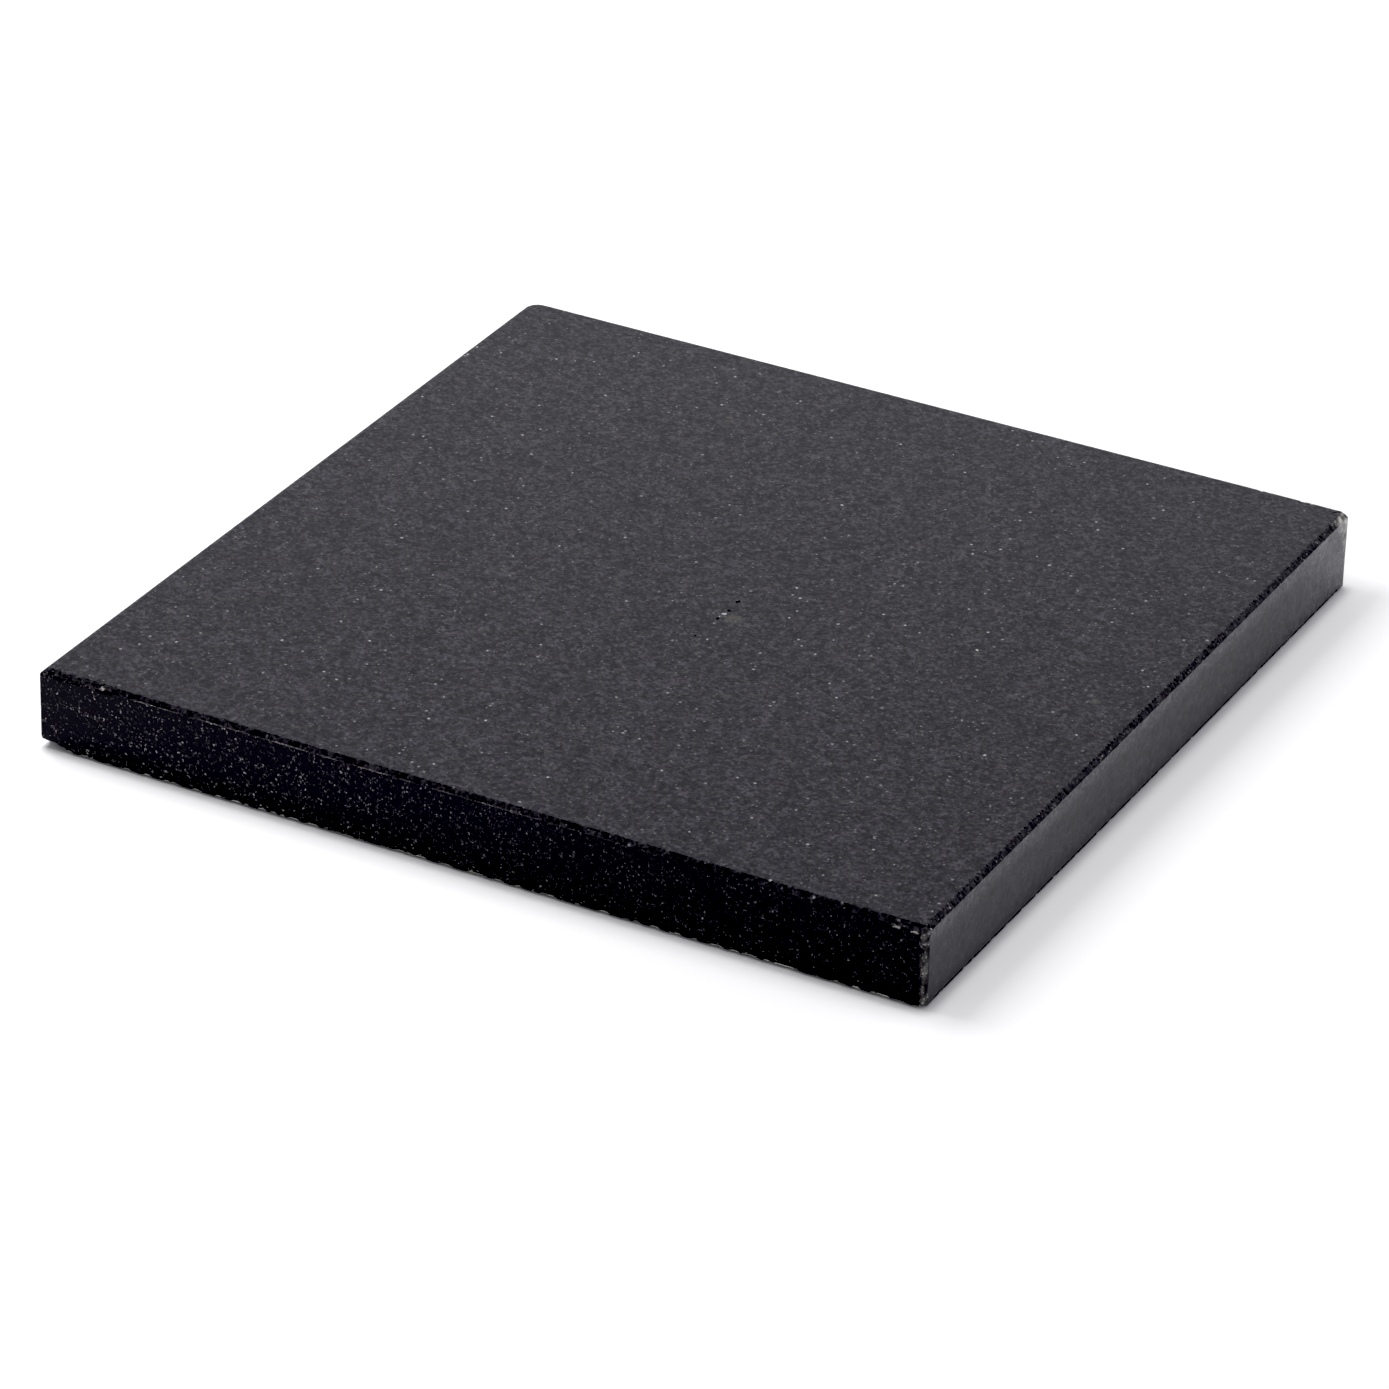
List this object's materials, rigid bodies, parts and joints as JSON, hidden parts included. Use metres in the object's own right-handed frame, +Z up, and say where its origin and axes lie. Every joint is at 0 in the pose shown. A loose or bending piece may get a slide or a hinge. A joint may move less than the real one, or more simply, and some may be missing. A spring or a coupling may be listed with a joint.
{
  "type": "granite slab",
  "caption": "Square slab of black granite with a honed flat top and narrow ground edges, laid under leather for stamping, punching and skiving.",
  "frame": {"origin": "middle of the flat underside, on the surface that the slab lies on", "axes": "+Z up through the thickness to the honed working face, +X to the honed right side, -Y to the polished front side"},
  "size_m": [0.2, 0.2, 0.018],
  "materials": {
    "granite": "honed top and right side, polished front side, ground arrises"
  },
  "bodies": {
    "root": {"granite_slab": "granite"}
  },
  "joints": []
}
